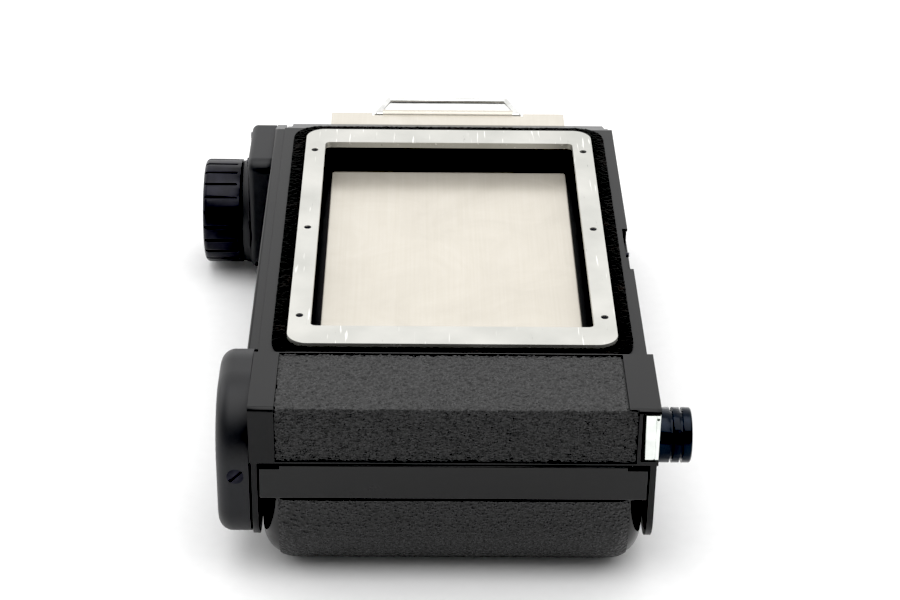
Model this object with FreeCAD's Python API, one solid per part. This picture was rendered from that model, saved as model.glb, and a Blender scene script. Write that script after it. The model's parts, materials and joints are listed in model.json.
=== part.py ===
import FreeCAD, Part
import math
import os

# Roll-film magazine for a press-type medium-format camera, in millimetres.
# The frame: origin at the centre of the picture gate on the silver seating face,
# +X across the film, +Y along the film towards the take-up end, +Z towards the lens.

V = FreeCAD.Vector

# ---- driving sizes: film and gate
gate_width = 56.0
gate_length = 84.0
film_width = 61.5
spool_flange_r = 12.6
spool_flange_t = 1.5
spool_core_r = 5.8
spool_socket_r = 3.1
roller_r = 2.0
roller_pin_r = 0.9

# ---- driving sizes: clearances
fit_gap = 0.05
spool_side_gap = 0.9
spool_round_gap = 0.9

# ---- driving sizes: sheet and wall thicknesses
leather_t = 0.5
cover_wall = 1.0
ear_t = 1.4
film_plate_t = 1.5
plate_t = 3.0
roof_t = 2.8
front_wall = 2.5
blade_t = 0.8
gate_plate_t = 1.2

# ---- heights
seat_z = 0.0
frame_t = 1.5
plate_top = seat_z - frame_t
plate_bottom = plate_top - plate_t
well_floor_t = 0.8
blade_top = -6.8
well_bottom = blade_top + 0.2
slot_bottom = blade_top - blade_t - 0.2
gate_bottom = slot_bottom - gate_plate_t
film_z = gate_bottom - 0.4
roller_z = film_z - roller_r
supply_z = -11.8
chamber_top = supply_z + spool_flange_r + spool_round_gap + roof_t + leather_t
takeup_z = gate_bottom - 2.4 - spool_flange_r
cover_inner_bottom = takeup_z - spool_flange_r - 0.4
cover_bottom = cover_inner_bottom - cover_wall
lip_top = -8.3
band_bottom = -17.0
ear_bottom = -30.0
tongue_bottom = -12.0

# ---- widths
spool_half = film_width / 2 + 0.25 + spool_flange_t
film_plate_in = spool_half + spool_side_gap
film_plate_out = film_plate_in + film_plate_t
inner_half = film_plate_out + 2.0
band_half = inner_half + 2.85
pan_half = band_half - 0.15
ear_in = band_half + 0.35
ear_out = ear_in + ear_t
body_half = ear_out + 0.2
blade_half = gate_width / 2 + 2.5

# ---- lengths
roller_y = gate_length / 2 + 4.0
supply_y = -(roller_y + roller_r + 8.8 + spool_flange_r)
takeup_y = roller_y + 7.7
front_y = supply_y - spool_flange_r - spool_round_gap - front_wall - 1.0
chamber_back = supply_y + 5.0
slope_foot = supply_y + 12.9
far_y = takeup_y + spool_flange_r + 0.7
far_top = -5.6
rail_in = far_y - 5.0
skin_y = front_y + leather_t
leather_left = 36.3
leather_right = 35.2
leather_front_right = 37.1
cover_leather_left = 36.1
cover_leather_right = 36.6

# ---- seating frame
seat_half_x = 35.75
seat_half_y = gate_length / 2 + 10.5
seat_corner = 4.5
open_half_x = 30.9
open_half_y = gate_length / 2 + 3.1
seat_screw_x = 33.4
seat_screw_y = 40.7
seal_w = 3.3
well_wall = 0.9
well_half_x = open_half_x + 0.7 + well_wall
well_half_y = open_half_y + 0.6 + well_wall

# ---- hinge of the back cover
hinge_y = far_y + 3.6
hinge_z = -10.8
hinge_half = 36.0
knuckle_r = 2.0
hinge_pin_r = 1.0
far_wall_y = far_y + 0.6

# ---- winding side
wall_cover_t = 2.4
side_cover_in = body_half + 0.05
side_cover_out = side_cover_in + wall_cover_t
housing_x0 = -50.3
housing_near = 14.0
housing_far = 10.0
housing_top = -3.3
housing_corner_r = 1.5
housing_bottom = -35.6
housing_wall = 1.2
knob_r = 13.25
knob_x0 = -62.2
knob_x1 = -52.8
knob_grooves = 22
shaft_r = 2.5
bearing_r = shaft_r + 0.6
stud_shank_r = 2.0
gear_module = 0.5
pinion_teeth = 14
counter_teeth = 20
pinion_r = gear_module * pinion_teeth / 2
counter_r = gear_module * counter_teeth / 2
counter_dy = 3.2
counter_dz = math.sqrt((pinion_r + counter_r + 0.02) ** 2 - counter_dy ** 2)
counter_y = takeup_y + counter_dy
counter_z = takeup_z + counter_dz
counter_pin_r = 1.0
ratchet_r = 5.0
ratchet_teeth = 12
gear_x0 = housing_x0 + 3.3
gear_x1 = gear_x0 + 1.2
drum_x0 = housing_x0 + 1.4
ratchet_x0 = gear_x1 + 0.2
ratchet_x1 = ratchet_x0 + 1.2
pawl_pin_r = 0.8
pawl_y = takeup_y - 6.6
pawl_z = takeup_z - 6.3

# ---- end cap beside the supply chamber
cap_half = spool_flange_r + spool_round_gap + front_wall + 0.6
cap_drop = 0.6
cap_depth = 7.0
cap_wall = 1.6
cap_corner_r = 14.0
cap_low_r = 8.0
cap_rim_r = 3.0
cap_screw_in = 2.95
cap_screw_r = 1.75

# ---- the cover's pan
pan_near_r = 14.0
pan_far_r = 9.0
pan_side_r = 6.0
pan_top = lip_top - 0.7
wall_top = ear_bottom + 2.5
corner_end_y = front_y + 7.0
band_t = 1.6
band_step_x = 35.6

# ---- notch in the right edge
notch_y0 = -16.3
notch_y1 = 3.0
notch_depth = 1.3
notch_pin_y = -7.7

# ---- supply knob
pull_knob_r = 5.85
pull_knob_out = 8.3
plunger_neck_r = 2.0
disc_count = 12
disc_t = 0.15
plunger_tip_r = spool_socket_r - 0.2
sleeve_r = plunger_tip_r + fit_gap + 0.7

# ---- pressure plate, its bridge and springs
carrier_top = film_z - 4.6
carrier_t = 1.2
stud_r = 1.2
leaf_rise = 2.2
leaf_span = 15.0
leaf_half_width = 3.0
leaf_t = 0.3

# ---- latch
latch_x0 = 38.3
latch_z0 = -6.8
latch_z1 = 3.8
latch_mid_z = -2.0
arm_z0 = -4.0
arm_z1 = 1.8
arm_y = front_y + 1.3
hook_y = front_y + 4.3
hook_back_y = front_y + 5.8
hook_bottom = -13.0
hook_top = -12.0

# ---- dark slide
slide_out_y = far_y + 9.5
slide_in_y = -(gate_length / 2 + 3.0)
hem_r = 1.3
wire_r = 0.85
bail_half = 18.5
bail_top_half = 15.5
bail_reach = 8.5


def box(x0, x1, y0, y1, z0, z1):
    return Part.makeBox(x1 - x0, y1 - y0, z1 - z0, V(x0, y0, z0))


def rod_x(x0, x1, y, z, r):
    return Part.makeCylinder(r, x1 - x0, V(x0, y, z), V(1, 0, 0))


def rod_y(y0, y1, x, z, r):
    return Part.makeCylinder(r, y1 - y0, V(x, y0, z), V(0, 1, 0))


def rod_z(z0, z1, x, y, r):
    return Part.makeCylinder(r, z1 - z0, V(x, y, z0), V(0, 0, 1))


def prism_x(x0, x1, points):
    """A closed outline of (y, z) points, drawn out along X."""
    corners = [V(x0, y, z) for y, z in points]
    face = Part.Face(Part.makePolygon(corners + corners[:1]))
    return face.extrude(V(x1 - x0, 0, 0))


def edges_where(shape, test):
    """The edges whose bounding box passes the test."""
    return [edge for edge in shape.Edges if test(edge.BoundBox)]


def round_edges(shape, radius, test):
    return shape.makeFillet(radius, edges_where(shape, test))


def rounded_plate(half_x, half_y, z0, z1, radius):
    plate = box(-half_x, half_x, -half_y, half_y, z0, z1)
    return round_edges(plate, radius, lambda b: b.ZLength > 0.9 * (z1 - z0))


def joined(*shapes):
    return shapes[0].fuse(list(shapes[1:])).removeSplitter()


def both_sides(shape):
    """The shape and its mirror image across the film's centre plane."""
    return [shape, shape.mirror(V(0, 0, 0), V(1, 0, 0))]


def group(shapes):
    return Part.makeCompound(shapes)


# ------------------------------------------------------------------ body


def body_casting():
    """The die-cast body: supply chamber, gate deck, side flanges and far rail."""
    chamber = prism_x(-body_half, body_half, [
        (front_y, lip_top), (front_y, chamber_top), (chamber_back, chamber_top),
        (slope_foot, plate_top), (slope_foot + 6.0, plate_top),
        (slope_foot + 6.0, plate_bottom), (slope_foot - 1.6, plate_bottom),
        (slope_foot - 1.6, lip_top)])
    chamber = round_edges(chamber, 1.0, lambda b: b.YLength < 0.1 and b.ZLength < 0.1
                          and abs(b.ZMax - chamber_top) < 0.1 and b.YMax < supply_y)
    deck = box(-body_half, body_half, slope_foot, seat_half_y + seal_w + 0.3,
               plate_bottom, plate_top)
    far_wedge = prism_x(-body_half, body_half, [
        (seat_half_y, plate_bottom), (seat_half_y, plate_top),
        (seat_half_y + seal_w + 0.2, plate_top), (far_y, far_top), (far_y, well_bottom),
        (rail_in, well_bottom), (rail_in, plate_bottom)])
    flange = box(inner_half, ear_in, slope_foot - 2.0, far_y, gate_bottom, plate_bottom)
    flange = flange.cut(above_slope(inner_half, ear_in, 0.0))
    far_rail = box(-ear_in, ear_in, rail_in, far_y, -12.8, slot_bottom)
    slot_end = box(blade_half + 0.3, ear_in, rail_in, far_y, slot_bottom, well_bottom)
    tongue = box(-ear_in + 0.2, film_plate_in - 0.2, front_y + 2.5, front_y + 4.0,
                 tongue_bottom, lip_top)
    body = joined(chamber, deck, far_wedge, far_rail, tongue,
                  *both_sides(flange), *both_sides(slot_end))
    spool_room = rod_x(-film_plate_out - 0.1, film_plate_out + 0.1, supply_y, supply_z,
                       spool_flange_r + spool_round_gap)
    gate_room = box(-well_half_x - 0.1, well_half_x + 0.1, -well_half_y - 0.1,
                    well_half_y + 0.1, plate_bottom, plate_top)
    ear_room = box(ear_in, body_half, front_y + 0.8, far_y, -14.0, plate_top - 0.7)
    end_pocket = box(film_plate_out + 2.0, ear_in - 1.2, chamber_back - 14.0,
                     chamber_back - 2.0, lip_top, chamber_top - 3.0)
    sleeve_room = rod_x(film_plate_out, ear_in, supply_y, supply_z, sleeve_r + 0.1)
    leather_top = box(-leather_left - 0.1, leather_right + 0.1, front_y, chamber_back - 0.4,
                      chamber_top - leather_t, chamber_top)
    leather_front = box(-leather_left - 0.1, leather_front_right + 0.1, front_y, skin_y,
                        lip_top + 0.5, chamber_top)
    body = body.cut([spool_room, gate_room, notch(), sleeve_room, leather_top, leather_front,
                     *both_sides(ear_room), *both_sides(end_pocket), latch_pocket()])
    knuckles = [hinge_knuckle(x0, x1, True) for x0, x1 in body_knuckles()]
    body = joined(body, *knuckles)
    return body.cut(rod_x(-body_half, body_half, hinge_y, hinge_z, hinge_pin_r))


def notch():
    """The bite out of the right edge, through the deck and the ear."""
    return box(body_half - notch_depth, body_half, notch_y0, notch_y1, plate_bottom, plate_top)


def latch_pocket():
    button = box(latch_x0 - 0.25, body_half, front_y, front_y + 4.0, latch_z0 - 0.4, latch_z1 + 0.3)
    hook = box(film_plate_out + 1.8, ear_in - 0.4, front_y + 1.5, front_y + 8.6,
               lip_top, latch_z1 - 1.6)
    spring = rod_y(front_y + 5.0, front_y + 12.5, latch_x0 + 0.1, latch_mid_z, 1.5)
    return joined(button, hook, spring)


def knuckle_bounds():
    return [-hinge_half + hinge_half / 3 * i for i in range(7)]


def body_knuckles():
    edges = knuckle_bounds()
    middle = hinge_half / 6
    return [(edges[0], edges[1]), (-middle, middle), (edges[5], edges[6])]


def cover_knuckles():
    (_, a), (b, c), (d, _) = body_knuckles()
    return [(a + 0.3, b - 0.3), (c + 0.3, d - 0.3)]


def hinge_knuckle(x0, x1, on_body):
    barrel = rod_x(x0, x1, hinge_y, hinge_z, knuckle_r)
    if on_body:
        leaf = box(x0, x1, far_y - 1.0, hinge_y, hinge_z - 1.2, hinge_z + 1.2)
    else:
        leaf = box(x0, x1, far_wall_y, far_wall_y + 1.4, hinge_z - 5.5, hinge_z)
    return joined(barrel, leaf)


def above_slope(x0, x1, drop):
    """The space over the deck's far slope, lowered by a drop."""
    slope_y = seat_half_y + seal_w + 0.2
    fall = (plate_top - far_top) / (far_y - slope_y)
    return prism_x(x0, x1, [(slope_y, plate_top - drop), (far_y + 1.0, far_top - drop - fall),
                            (far_y + 1.0, chamber_top), (slope_y, chamber_top)])


def ear_outline(x0, x1):
    plate = box(x0, x1, front_y + 0.85, far_y, ear_bottom, plate_top - 0.75)
    plate = round_edges(plate, 8.0, lambda b: b.YLength < 0.1 and b.ZLength < 0.1
                        and abs(b.ZMax - ear_bottom) < 0.1)
    return plate.cut(above_slope(x0, x1, 0.75))


def left_side_plate():
    """The thin outer ear beside the back cover, on the winding side."""
    plate = ear_outline(-ear_out, -ear_in)
    holes = [rod_x(-ear_out, -ear_in, takeup_y, takeup_z, bearing_r),
             rod_x(-ear_out, -ear_in, supply_y, supply_z, stud_shank_r)]
    return plate.cut(holes)


def right_side_plate():
    plate = ear_outline(ear_in, ear_out)
    holes = [rod_x(ear_in, ear_out, takeup_y, takeup_z, stud_shank_r),
             rod_x(ear_in, ear_out, supply_y, supply_z, plunger_neck_r + fit_gap),
             box(ear_in, ear_out, front_y, front_y + 4.1, latch_z0 - 0.4, latch_z1 + 0.3),
             box(ear_in, ear_out, notch_y0, notch_y1, plate_bottom, plate_top)]
    return plate.cut(holes)


def side_plate_screws():
    """Slotted screws that hold the right ear to the casting's flange."""
    heads = []
    for y in (-30.0, 22.0, 54.0):
        head = rod_x(ear_out, ear_out + 0.6, y, -8.5, 1.8)
        head = round_edges(head, 0.3, lambda b: b.XMin > ear_out + 0.5)
        slot = box(ear_out + 0.2, ear_out + 0.6, y - 2.0, y + 2.0, -8.8, -8.2)
        heads.append(head.cut(slot))
    return group(heads)


def film_plate(side):
    """An inner plate that carries the spools and the guide rollers."""
    x0 = film_plate_in
    x1 = film_plate_out
    near = rod_x(x0, x1, supply_y, supply_z, spool_flange_r + 0.1)
    far = rod_x(x0, x1, takeup_y, takeup_z, spool_flange_r - 0.2)
    strip = box(x0, x1, supply_y, takeup_y + 4.0, roller_z - 2.2, gate_bottom)
    neck = box(x0, x1, takeup_y - 8.0, takeup_y + 5.5, takeup_z + 4.0, gate_bottom)
    plate = joined(near, far, strip, neck)
    if side > 0:
        supply_hole = rod_x(x0, x1, supply_y, supply_z, plunger_tip_r + fit_gap)
        takeup_hole = rod_x(x0, x1, takeup_y, takeup_z, stud_shank_r)
    else:
        supply_hole = rod_x(x0, x1, supply_y, supply_z, stud_shank_r)
        takeup_hole = rod_x(x0, x1, takeup_y, takeup_z, bearing_r)
    pins = [rod_x(x0, x1, y, roller_z, roller_pin_r) for y in (-roller_y, roller_y)]
    plate = plate.cut([supply_hole, takeup_hole] + pins)
    if side < 0:
        plate = plate.mirror(V(0, 0, 0), V(1, 0, 0))
    return plate


def gate_plate():
    """The film gate: a window, two film rails and two edge guides."""
    half_x = inner_half
    plate = box(-half_x, half_x, -roller_y - 1.0, rail_in, gate_bottom, slot_bottom)
    window = box(-gate_width / 2, gate_width / 2, -gate_length / 2, gate_length / 2,
                 gate_bottom, slot_bottom)
    rail = box(gate_width / 2 + 0.3, gate_width / 2 + 1.8, -roller_y - 1.0, roller_y + 1.0,
               film_z, gate_bottom)
    guide = box(film_width / 2 + 0.25, film_plate_in - 0.1, -roller_y - 1.0, roller_y + 1.0,
                film_z - 0.5, gate_bottom)
    return joined(plate.cut(window), *both_sides(rail), *both_sides(guide))


def slide_guide():
    """The spacer that guides the dark slide's edges and closes its far slot."""
    outer = box(-inner_half, inner_half, -well_half_y - 2.4, rail_in, slot_bottom, plate_bottom)
    channel = box(-blade_half - 0.3, blade_half + 0.3, slide_in_y - 1.0, rail_in,
                  slot_bottom, well_bottom)
    well_room = box(-well_half_x - 0.1, well_half_x + 0.1, -well_half_y - 0.1,
                    well_half_y + 0.1, well_bottom, plate_bottom)
    felt_room = box(-blade_half, blade_half, well_half_y + 3.0, well_half_y + 8.0,
                    well_bottom, well_bottom + 1.2)
    return outer.cut([channel, well_room, felt_room])


def slide_trap_felt():
    """The felt strip that wipes the dark slide and keeps light out of its slot."""
    strip = box(-blade_half + 0.1, blade_half - 0.1, well_half_y + 3.1, well_half_y + 7.9,
                blade_top + 0.15, well_bottom + 1.2)
    return strip


def light_well():
    """The black tray between the seating frame and the dark slide."""
    tray = box(-well_half_x, well_half_x, -well_half_y, well_half_y, well_bottom, plate_top)
    hollow = rounded_plate(well_half_x - well_wall, well_half_y - well_wall,
                           well_bottom + well_floor_t, plate_top, 1.5)
    window = rounded_plate(gate_width / 2 + 1.1, gate_length / 2, well_bottom,
                           well_bottom + well_floor_t, 0.8)
    return tray.cut([hollow, window])


def seat_screw_places():
    return [(side * seat_screw_x, y) for side in (-1, 1) for y in (-seat_screw_y, 0, seat_screw_y)]


def mount_frame():
    """The silver frame whose upper face seats against the camera."""
    plate = rounded_plate(seat_half_x, seat_half_y, plate_top, seat_z, seat_corner)
    opening = rounded_plate(open_half_x, open_half_y, plate_top, seat_z, 1.2)
    holes = [rod_z(plate_top, seat_z, x, y, 0.85) for x, y in seat_screw_places()]
    plate = plate.cut([opening] + holes)
    return plate


def mount_frame_screws():
    """Small blackened screws sunk in the seating frame."""
    screws = []
    for x, y in seat_screw_places():
        shank = rod_z(plate_top, seat_z - 0.35, x, y, 0.85)
        slot = box(x - 0.9, x + 0.9, y - 0.12, y + 0.12, seat_z - 0.65, seat_z - 0.35)
        screws.append(shank.cut(slot))
    return group(screws)


def velvet_seal():
    """The pile strip that runs round the seating frame."""
    outer = rounded_plate(seat_half_x + seal_w, seat_half_y + seal_w, plate_top,
                          plate_top + 0.8, seat_corner + 2.0)
    inner = rounded_plate(seat_half_x + 0.1, seat_half_y + 0.1, plate_top,
                          plate_top + 0.8, seat_corner + 0.1)
    return outer.cut(inner)


def chamber_leatherette():
    """The covering over the top and front of the supply chamber."""
    top = box(-leather_left, leather_right, front_y, chamber_back - 0.5,
              chamber_top - leather_t, chamber_top)
    front = box(-leather_left, leather_front_right, front_y, skin_y, lip_top + 0.6,
                chamber_top - leather_t)
    sheet = joined(top, front)
    return round_edges(sheet, 0.45, lambda b: b.YLength < 0.1 and b.ZLength < 0.1
                       and b.ZMax > chamber_top - 0.1 and b.YMax < front_y + 0.1)


def cap_block(x0, x1, half, big_r, small_r):
    """A block round the supply axis, all its corners big but the lowest near one."""
    low_z = supply_z - half - cap_drop
    block = box(x0, x1, supply_y - half, supply_y + half, low_z, supply_z + half)
    block = round_edges(block, small_r, lambda b: b.YLength < 0.1 and b.ZLength < 0.1
                        and b.ZMax < low_z + 0.1 and b.YMax < supply_y)
    return round_edges(block, big_r, lambda b: b.YLength < 0.1 and b.ZLength < 0.1
                       and (b.ZMax > supply_z or b.YMin > supply_y + half - 0.1))


def left_end_cap():
    """The rounded cap that closes the supply side, hollow inside."""
    x0 = -body_half - cap_depth
    x1 = -body_half - 0.1
    cap = cap_block(x0, x1, cap_half, cap_corner_r, cap_low_r)
    cap = round_edges(cap, cap_rim_r, lambda b: b.XMax < x0 + 0.1)
    hollow = cap_block(x0 + cap_wall, x1, cap_half - cap_wall, cap_corner_r - cap_wall,
                       cap_low_r - cap_wall)
    screw_hole = rod_y(supply_y - cap_half - 0.1, supply_y + cap_half + 0.1,
                       -body_half - cap_screw_in, supply_z, cap_screw_r)
    return cap.cut([hollow, screw_hole])


def end_cap_screws():
    """Two slotted screws, one in each narrow side of the end cap."""
    x = -body_half - cap_screw_in
    screws = []
    for side in (-1, 1):
        y = supply_y + side * cap_half
        back = y - side * cap_wall
        head = rod_y(min(y, back), max(y, back), x, supply_z, cap_screw_r)
        slot = box(-2.0, 2.0, y - 0.45, y + 0.45, -0.3, 0.3)
        slot.rotate(V(0, y, 0), V(0, 1, 0), -45)
        slot.translate(V(x, 0, supply_z))
        screws.append(head.cut(slot))
    return group(screws)


def side_cover():
    """The long wall on the winding side that carries the gear housing."""
    x1 = -side_cover_in
    x0 = -side_cover_out
    wall = box(x0, x1, slope_foot + 4.2, far_y, ear_bottom - 1.0, plate_top - 0.3)
    wall = round_edges(wall, 6.0, lambda b: b.YLength < 0.1 and b.ZLength < 0.1
                       and abs(b.ZMax - (ear_bottom - 1.0)) < 0.1)
    wall = round_edges(wall, 0.6, lambda b: b.XLength < 0.1 and b.ZLength < 0.1
                       and b.ZMax > plate_top - 0.4 and b.XMax < x0 + 0.1)
    return wall.cut([rod_x(x0, x1, takeup_y, takeup_z, bearing_r),
                     above_slope(x0, x1, 0.3)])


def wind_housing():
    """The gear housing under the winding knob, with its flared collar."""
    x1 = -side_cover_out
    y0 = takeup_y - housing_near
    y1 = takeup_y + housing_far
    shell = box(housing_x0, x1, y0, y1, housing_bottom, housing_top)
    shell = round_edges(shell, 3.0, lambda b: b.YLength < 0.1 and b.ZLength < 0.1
                        and b.ZMax > housing_top - 0.1)
    shell = round_edges(shell, 7.0, lambda b: b.YLength < 0.1 and b.ZLength < 0.1
                        and b.ZMax < housing_bottom + 0.1)
    shell = round_edges(shell, housing_corner_r, lambda b: b.XMax < housing_x0 + 0.1)
    collar = Part.makeCone(knob_r - 0.5, knob_r + 0.4, 2.3, V(knob_x1 + 0.3, takeup_y, takeup_z),
                           V(1, 0, 0))
    shell = joined(shell, collar)
    hollow = box(housing_x0 + housing_wall, x1, y0 + housing_wall, y1 - housing_wall,
                 housing_bottom + housing_wall, housing_top - housing_wall)
    hollow = round_edges(hollow, 2.0, lambda b: b.YLength < 0.1 and b.ZLength < 0.1)
    bore = rod_x(knob_x1, x1, takeup_y, takeup_z, shaft_r + fit_gap)
    pin_hole = rod_x(housing_x0 + 0.6, x1, counter_y, counter_z, counter_pin_r)
    pawl_hole = rod_x(housing_x0 + 0.6, x1, pawl_y, pawl_z, pawl_pin_r)
    window = box(housing_x0 + 1.5, housing_x0 + 3.3, y1 - housing_wall, y1,
                 counter_z - 2.0, counter_z + 2.0)
    return shell.cut([hollow, bore, pin_hole, pawl_hole, window])


def counter_window():
    y1 = takeup_y + housing_far
    return box(housing_x0 + 1.5, housing_x0 + 3.3, y1 - 0.9, y1 - 0.3,
               counter_z - 2.0, counter_z + 2.0)


def housing_screws():
    """Slotted screws in the outer face of the gear housing, above the knob."""
    x = housing_x0
    screws = []
    for y in (takeup_y - 7.4, takeup_y + 7.4):
        head = rod_x(x - 0.4, x, y, housing_top - 3.2, 1.2)
        slot = box(x - 0.5, x - 0.15, y - 1.4, y + 1.4, housing_top - 3.4, housing_top - 3.0)
        screws.append(head.cut(slot))
    return group(screws)


def wind_bearing():
    """The bronze sleeve that carries the winding shaft through the side walls."""
    x0 = -side_cover_out
    sleeve = rod_x(x0, -film_plate_in, takeup_y, takeup_z, bearing_r)
    return sleeve.cut(rod_x(x0, -film_plate_in, takeup_y, takeup_z, shaft_r + fit_gap))


def roller_pins():
    """The four stub pins on which the guide rollers turn."""
    pins = []
    for y in (-roller_y, roller_y):
        pin = rod_x(film_width / 2 - 3.0, film_plate_out, y, roller_z, roller_pin_r)
        pins.extend(both_sides(pin))
    return group(pins)


def supply_left_stud():
    """The fixed stud that centres the supply spool on the winding side."""
    tip = rod_x(-film_plate_in, -spool_half + 3.5, supply_y, supply_z, plunger_tip_r)
    shank = rod_x(-ear_out, -film_plate_in, supply_y, supply_z, stud_shank_r)
    return joined(tip, shank)


def takeup_right_stud():
    tip = rod_x(spool_half - 3.5, film_plate_in, takeup_y, takeup_z, plunger_tip_r)
    shank = rod_x(film_plate_in, ear_out, takeup_y, takeup_z, stud_shank_r)
    return joined(tip, shank)


def plunger_sleeve():
    """The tube that holds the supply plunger and its spring."""
    tube = rod_x(film_plate_out, ear_in, supply_y, supply_z, sleeve_r)
    return tube.cut(rod_x(film_plate_out, ear_in, supply_y, supply_z, plunger_tip_r + fit_gap))


def knob_washer():
    """The red fibre washer between the side plate and the supply knob."""
    disc = rod_x(ear_out, ear_out + 0.55, supply_y, supply_z, 3.4)
    return disc.cut(rod_x(ear_out, ear_out + 0.55, supply_y, supply_z, plunger_neck_r + fit_gap))


def helix_spring(r_mean, wire, length, turns, base, axis):
    """A round-wire compression spring, built as a sweep along a helix."""
    pitch = (length - 2 * wire) / turns
    path = Part.makeHelix(pitch, pitch * turns, r_mean)
    section = Part.Wire([Part.makeCircle(wire, V(r_mean, 0, 0), V(0, 1, 0))])
    coil = Part.Wire(path.Edges).makePipeShell([section], True, True)
    coil.translate(V(0, 0, wire))
    coil.Placement = FreeCAD.Placement(base, FreeCAD.Rotation(V(0, 0, 1), axis)).multiply(
        coil.Placement)
    return coil


def plunger_spring():
    """A stack of thin disc springs round the plunger's neck, cupped alternately."""
    start = film_plate_in + 0.3
    step = (ear_in - start - 0.1 - disc_t) / disc_count
    inner_y = supply_y + plunger_neck_r + 0.2
    outer_y = supply_y + plunger_neck_r + 0.7
    discs = []
    for i in range(disc_count):
        x = start + i * step
        y0, y1 = (inner_y, outer_y) if i % 2 else (outer_y, inner_y)
        corners = [V(x, y0, supply_z), V(x + step, y1, supply_z),
                   V(x + step + disc_t, y1, supply_z), V(x + disc_t, y0, supply_z)]
        section = Part.Face(Part.makePolygon(corners + corners[:1]))
        discs.append(section.revolve(V(0, supply_y, supply_z), V(1, 0, 0), 360))
    return discs[0].fuse(discs[1:])


def counter_pin():
    return rod_x(housing_x0 + 0.6, -side_cover_out, counter_y, counter_z, counter_pin_r)


def pawl_pin():
    return rod_x(housing_x0 + 0.6, -side_cover_out, pawl_y, pawl_z, pawl_pin_r)


def hinge_pin():
    return rod_x(-hinge_half - 0.4, hinge_half + 0.4, hinge_y, hinge_z, hinge_pin_r)


def lip_velvet():
    """The pile strip on the body's tongue, inside the back cover's lip."""
    return box(-film_plate_in + 1.0, film_plate_in - 1.0, front_y + 2.0, front_y + 2.5,
               -11.8, lip_top - 0.3)


def interlock_pin():
    """The small pin that stands in the notch of the right edge."""
    return rod_x(body_half - notch_depth, body_half - 0.4, notch_pin_y, plate_top - 1.1, 0.55)


# ------------------------------------------------------------------ dark slide


def dark_slide():
    """The bright steel blade, with a hem at its end that holds the pull wire."""
    blade = box(-blade_half, blade_half, slide_in_y, slide_out_y, blade_top - blade_t, blade_top)
    blade = round_edges(blade, 1.5, lambda b: b.ZLength > 0.5 and b.YMax < 0)
    hem_y = slide_out_y
    hem = rod_x(-bail_half + 1.4, bail_half - 1.4, hem_y, blade_top - blade_t / 2, hem_r)
    hole = rod_x(-bail_half, bail_half, hem_y, blade_top - blade_t / 2, wire_r + fit_gap)
    notch = box(bail_half - 1.4, bail_half + 1.4, slide_out_y - 1.4, slide_out_y,
                blade_top - blade_t, blade_top)
    return joined(blade, hem).cut([hole] + both_sides(notch))


def slide_pull():
    """The chrome wire bail: a base in the hem, two legs and a top bar."""
    y = slide_out_y
    z = blade_top - blade_t / 2
    corners = [V(-bail_half, y, z), V(-bail_top_half, y + bail_reach, z),
               V(bail_top_half, y + bail_reach, z), V(bail_half, y, z)]
    pieces = []
    for i, corner in enumerate(corners):
        nxt = corners[(i + 1) % len(corners)]
        run = nxt.sub(corner)
        pieces.append(Part.makeCylinder(wire_r, run.Length, corner, run))
        pieces.append(Part.makeSphere(wire_r, corner))
    return joined(*pieces)


# ------------------------------------------------------------------ back cover


def pan(half_x, y0, y1, z0, z1, r_near, r_far, r_side):
    """A tray open at the top, its four lower edges and corners rounded."""
    tray = box(-half_x, half_x, y0, y1, z0, z1)
    tray = round_edges(tray, r_near, lambda b: b.YLength < 0.1 and b.ZLength < 0.1
                       and b.ZMax < z0 + 0.1 and b.YMax < y0 + 0.1)
    tray = round_edges(tray, r_far, lambda b: b.YLength < 0.1 and b.ZLength < 0.1
                       and b.ZMax < z0 + 0.1 and b.YMin > y1 - 0.1)
    return round_edges(tray, r_side, lambda b: b.XLength < 0.01
                       and abs(abs(b.XMin) - half_x) < 0.01 and b.ZMin < z1 - 0.01)


def pan_body(grow, top):
    """The cover's outer form, grown outwards by a skin thickness."""
    return pan(pan_half + min(grow, 0), skin_y - grow, far_wall_y + cover_wall + grow,
               cover_bottom - grow, top, pan_near_r + grow, pan_far_r + grow, pan_side_r + grow)


def back_cover():
    """The pressed cover: a rounded pan, the front lip band and hinge knuckles."""
    outer = pan_body(0.0, pan_top)
    inner = pan_body(-cover_wall, pan_top)
    shell = outer.cut(inner)
    side_room = box(-pan_half - 1, pan_half + 1, corner_end_y, far_wall_y, wall_top, 0)
    far_room = box(-pan_half - 1, pan_half + 1, far_wall_y - 2.0, hinge_y + 3.0, hinge_z - 2.4, 0)
    corner_room = box(-pan_half - 1, pan_half + 1, front_y + band_t, corner_end_y + 0.1,
                      band_bottom, 0)
    shell = shell.cut([side_room, far_room, corner_room])
    band = box(-band_half, band_half, front_y, front_y + band_t, band_bottom, lip_top - 0.3)
    band = round_edges(band, 0.4, lambda b: b.YLength < 0.1 and b.XLength > 50
                       and b.YMax < front_y + 0.1)
    step = box(band_step_x, band_half, front_y, front_y + band_t, lip_top - 1.3, lip_top)
    shell = joined(shell, band).cut(both_sides(step))
    knuckles = [hinge_knuckle(x0, x1, False) for x0, x1 in cover_knuckles()]
    shell = joined(shell, *knuckles)
    return shell.cut(rod_x(-body_half, body_half, hinge_y, hinge_z, hinge_pin_r + fit_gap))


def cover_leatherette():
    """The covering glued round the cover's front, underside and far end."""
    sheet = pan_body(leather_t, pan_top).cut(pan_body(0.0, pan_top))
    keep = box(-cover_leather_left, cover_leather_right, front_y - 1, far_wall_y + 2.0,
               cover_bottom - 1, band_bottom - 0.3)
    return sheet.common(keep)


def latch_keeper():
    """The small ledge inside the lip that the latch hook holds."""
    return box(film_plate_out + 2.0, band_half - 0.4, front_y + band_t, front_y + 3.9,
               hook_top + 0.3, hook_top + 1.3)


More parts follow.
